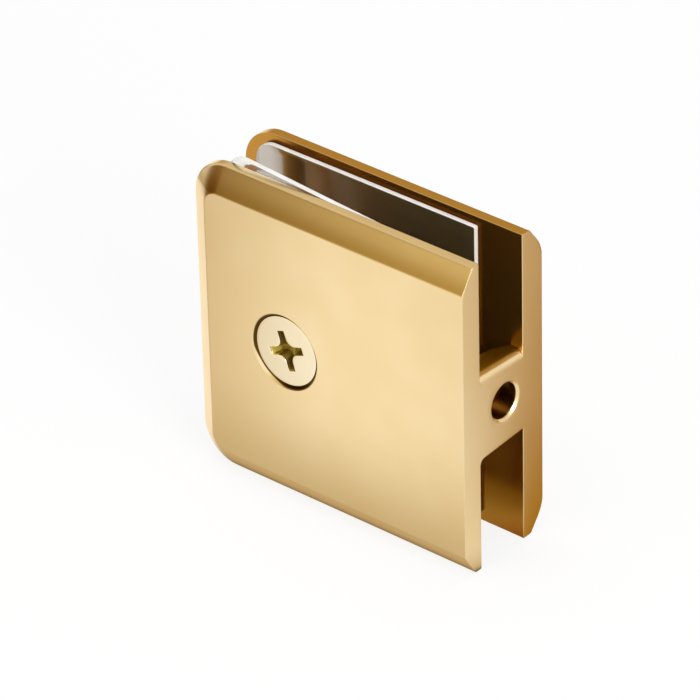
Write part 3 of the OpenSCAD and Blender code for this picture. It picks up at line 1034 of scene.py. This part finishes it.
def reflected_floor(tree, settings):
    """Painted tone of the floor, seen only in the clamp's reflections: white, with painted shade at its foot,
    far to the left and behind.

    The front plate mirrors the floor along one slanted direction, so its painted left to right shading is
    laid out on the floor along that slant. Under the clamp painted shade runs from the lower bevel over a
    dark painted shadow line to the slot, and beside the free end the painted tone is light.
    """
    x, y = object_axes(tree)[1:3]
    in_front = y - cad_low.y
    seen_at = x - in_front * MIRROR_SLANT
    before_plate = in_front.fade(0.0, 2, -6)
    off_x = outside_span(x, cad_low.x, cad_high.x) * in_front.fade(0.0, -2, 3, 1.0, 3.0)
    off = off_x.across(outside_span(y, cad_low.y, cad_high.y))
    slot = layered(tree, settings.slot_deep_tone, (in_front.fade(0.0, 5, 12), settings.slot_tone))
    under = layered(
        tree, settings.bevel_tone, (in_front.fade(0.0, 1.35, 2.75), settings.shadow_line_tone),
        (in_front.fade(0.0, 3.6, 4.4), slot),
    )
    past_corner = x.fade(cad_low.x, 6, 2) * in_front.fade(0.0, 1.5, 3.5)
    beyond_end = (x * VIEW_SIN + y * VIEW_COS).fade(0.0, -6, 4)
    behind = y * VIEW_SIN - x * VIEW_COS
    return layered(
        tree, WHITE, (seen_at.fade(0.0, -22, -60) * before_plate, settings.left_tone),
        (seen_at.fade(0.0, -18, 14) * before_plate, settings.right_tone),
        (off.fade(0.0, 26, 2), settings.foot_shadow_tone), (off.fade(0.0, 3, 0), under),
        (past_corner, settings.side_tone),
        (beyond_end * behind.fade(0.0, -40, -6), settings.end_tone),
        (beyond_end * behind.fade(0.0, -5, 4), settings.back_tone),
    )


def floor_surface(settings):
    """A round pale floor that rises slowly far out: its height is a soft step of the distance."""
    radius = np.linspace(0.02, FLOOR_REACH, 40)[:, None]
    around = np.linspace(0, TWO_PI, 96, endpoint=False)
    middle_x = (cad_low.x + cad_high.x) / 2
    rise = soft_step((radius - FLOOR_RISE_START) / (FLOOR_REACH - FLOOR_RISE_START))
    height = FLOOR_Z + FLOOR_RISE * rise
    rows = pack(middle_x + radius * np.cos(around), radius * np.sin(around), height)
    points = np.concatenate([rows.reshape(-1, 3), [[middle_x, 0, FLOOR_Z]]])
    count, columns = rows.shape[:2]
    middle = fan_triangles(len(points) - 1, 0, columns, False)
    made = mesh_object("studio_floor", points, grid_quads(count, columns)[:, ::-1], middle, closed=False)

    def surface(tree):
        mirrored = light_path(tree, "Is Glossy Ray")
        # Painted reflections: rays from a reflection see the floor in painted tones of light and shade.
        tone = layered(tree, WHITE, (mirrored, reflected_floor(tree, settings)))
        lit = add_node(tree, "ShaderNodeBsdfDiffuse", {"Color": settings.floor})
        plain = add_node(tree, "ShaderNodeEmission", {"Color": tone, "Strength": 1.03})
        share_plain = (seen_rays(tree) * 0.8).math("MAXIMUM", mirrored)
        parts = {0: share_plain, 1: lit.outputs[0], 2: plain.outputs[0]}
        return add_node(tree, "ShaderNodeMixShader", parts)

    bare_material(made, "pale_floor", surface)


def white_world():
    """White round the scene for what is seen, and a plain pale sky for the light on the clamp."""
    world = bpy.data.worlds.new("studio_world")
    bpy.context.scene.world = world
    world.use_nodes = True
    tree = world.node_tree
    background = tree.nodes["Background"].inputs
    background["Color"].default_value = (*WHITE, 1.0)
    feed(tree, background["Strength"], seen_rays(tree).ramp(0.0, 1.0, 0.5, 1.0))


def soft_lamp(name, direction, distance, size, power, in_reflections):
    """A square soft lamp that looks at the clamp's middle."""
    lamp = bpy.data.lights.new(name, "AREA")
    lamp.shape = "SQUARE"
    lamp.size = size
    lamp.energy = power
    holder = linked_object(name, lamp)
    way = Vector(direction).normalized()
    holder.location = (cad_low + cad_high) / 2 + way * distance
    holder.rotation_mode = "QUATERNION"
    holder.rotation_quaternion = way.to_track_quat("Z", "Y")
    holder.visible_glossy = in_reflections
    holder.visible_camera = False


def studio_camera(settings):
    """The camera: its back direction from azimuth and elevation, then a roll about it."""
    turn, rise, roll = settings.azimuth, settings.elevation, settings.roll
    back = Vector((math.sin(turn) * math.cos(rise), -math.cos(turn) * math.cos(rise), math.sin(rise)))
    level = Vector((math.cos(turn), math.sin(turn), 0.0))
    upright = back.cross(level)
    right = level * math.cos(roll) + upright * math.sin(roll)
    up = upright * math.cos(roll) - level * math.sin(roll)
    data = bpy.data.cameras.new("photo_camera")
    data.lens = settings.lens
    data.sensor_width = 36.0
    data.clip_start, data.clip_end = 0.05, 10.0
    camera = linked_object("photo_camera", data)
    turned = Matrix((right, up, back)).transposed().to_4x4()
    camera.matrix_world = Matrix.Translation(CAMERA_AIM + back * settings.distance) @ turned
    bpy.context.scene.camera = camera


# Operators

class CLAMP_OT_casting(bpy.types.Operator):
    """Make the casting: two bevelled plates, the lug between them and its holes"""
    bl_idname = "clamp.casting"
    bl_label = "Casting"

    def execute(self, context):
        settings = context.scene.clamp_casting
        lug_sink = settings.lug_corner + 0.1 * MM
        casting = joined_casting("satin_casting", [
            front_plate(settings), rear_plate(settings), lug(settings, lug_sink),
            lug_fillet(settings, FILLET_SINK),
        ])
        casting.data.set_sharp_from_angle(angle=math.radians(30))
        level = casting.modifiers.new("even_shading", "WEIGHTED_NORMAL")
        level.mode = "FACE_AREA"
        level.weight = 100
        level.keep_sharp = True
        casting.data.materials.clear()
        casting.data.materials.append(satin_gold(settings))
        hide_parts("clamp_body")
        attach(casting, "root")
        return {"FINISHED"}


class CLAMP_OT_screw(bpy.types.Operator):
    """Make the flat-head screw with its recess and thread"""
    bl_idname = "clamp.screw"
    bl_label = "Clamp screw"

    def execute(self, context):
        settings = context.scene.clamp_screw
        rows, poles = screw_points(settings)
        screw = mesh_object("flat_head_screw", *capped_grid(rows, *poles))
        screw.data.set_sharp_from_angle(angle=math.radians(38))
        screw.data.materials.append(polished_gold(settings))
        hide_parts("clamp_screw")
        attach(screw, "root")
        return {"FINISHED"}


class CLAMP_OT_gaskets(bpy.types.Operator):
    """Make the two clear gaskets"""
    bl_idname = "clamp.gaskets"
    bl_label = "Gaskets"

    def execute(self, context):
        settings = context.scene.clamp_gaskets
        front = gasket_object(
            "front_vinyl_gasket", settings, front_sheet_low.y, front_sheet_high.y,
            settings.shift, settings.lift, settings.turn, 1, 0.6,
        )
        rear = gasket_object(
            "rear_vinyl_gasket", settings, rear_sheet_low.y, rear_sheet_high.y, 0.0, 0.0, 0.0, -1, 2.1
        )
        edge = frosted_edge(settings)
        front_face = clear_vinyl("clear_vinyl_sheet", settings.tint, 0.95, False)
        # The rear sheet's amber tint is painted shade.
        rear_face = clear_vinyl("glossy_vinyl_sheet", settings.rear_shade_tint, 0.92, True)
        for piece, node, face in ((front, "front_gasket", front_face), (rear, "rear_gasket", rear_face)):
            piece.data.materials.append(face)
            piece.data.materials.append(edge)
            piece.data.set_sharp_from_angle(angle=math.radians(50))
            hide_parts(node)
            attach(piece, "root")
        return {"FINISHED"}


class CLAMP_OT_studio(bpy.types.Operator):
    """Set up the floor, the light, the shade cards and the camera"""
    bl_idname = "clamp.studio"
    bl_label = "Studio"

    def execute(self, context):
        settings = context.scene.clamp_studio
        context.scene.view_settings.view_transform = "Standard"
        floor_surface(settings)
        white_world()
        soft_lamp("key_lamp", (0.83, -0.34, 0.44), 0.7, 0.3, 2.2, True)
        soft_lamp("top_lamp", (-0.2, -0.1, 1.0), 0.9, 0.9, 3.2, False)
        # Painted reflections: cards of light and dark tone that only reflections see.
        shade_card(
            "front_card", [(-250, 65, -25), (-10, -275, -25), (-10, -275, 400), (-250, 65, 400)],
            (0.16, 0.07, 0.0), (0.72, 0.6, 0.33), 0.49, 0.61,
        )
        shade_card(
            "overhead_card", [(-140, -12, 33), (-140, 88, 33), (40, 88, 33), (40, -12, 33)],
            (0.67, 0.6, 0.47), (0.4, 0.23, 0.04), 0.185, 0.225,
        )
        shade_card(
            "slot_card", [(-51.5, -9.5, -25), (-75, -9.5, -25), (-75, -9.5, 32), (-51.5, -9.5, 32)],
            (0.22, 0.17, 0.11), WHITE, 0.0, 0.24,
        )
        # Painted shade: a dark card beside the free end.
        dark = (0.06, 0.03, 0.005)
        shade_card(
            "free_end_card", [(-62, 8, -25), (-62, 45, -25), (-62, 45, 10), (-62, 8, 10)],
            dark, dark, 0.0, 1.0,
        )
        studio_camera(settings)
        return {"FINISHED"}


class CLAMP_PT_parts(bpy.types.Panel):
    """Buttons and settings of the glass clamp."""
    bl_label = "Glass clamp"
    bl_idname = "CLAMP_PT_parts"
    bl_space_type = "VIEW_3D"
    bl_region_type = "UI"
    bl_category = "Glass clamp"

    def draw(self, context):
        for operator in OPERATORS:
            self.layout.operator(operator.bl_idname)
        for name, group in SETTINGS.items():
            box = self.layout.box()
            box.label(text=group.__doc__)
            for key in group.__annotations__:
                box.prop(getattr(context.scene, name), key)


SETTINGS = {
    "clamp_casting": CastingSettings,
    "clamp_screw": ScrewSettings,
    "clamp_gaskets": GasketSettings,
    "clamp_studio": StudioSettings,
}
OPERATORS = (CLAMP_OT_casting, CLAMP_OT_screw, CLAMP_OT_gaskets, CLAMP_OT_studio)


def register():
    """Registers the settings, the operators and the panel."""
    for name, group in SETTINGS.items():
        bpy.utils.register_class(group)
        setattr(bpy.types.Scene, name, PointerProperty(type=group))
    for item in (*OPERATORS, CLAMP_PT_parts):
        bpy.utils.register_class(item)


def unregister():
    """Takes away what register added."""
    for item in (CLAMP_PT_parts, *reversed(OPERATORS)):
        bpy.utils.unregister_class(item)
    for name, group in reversed(SETTINGS.items()):
        delattr(bpy.types.Scene, name)
        bpy.utils.unregister_class(group)


def main():
    """Registers the add-on, then builds every piece and the stage."""
    register()
    bpy.ops.clamp.casting()
    bpy.ops.clamp.screw()
    bpy.ops.clamp.gaskets()
    bpy.ops.clamp.studio()


if __name__ == "__main__":
    main()
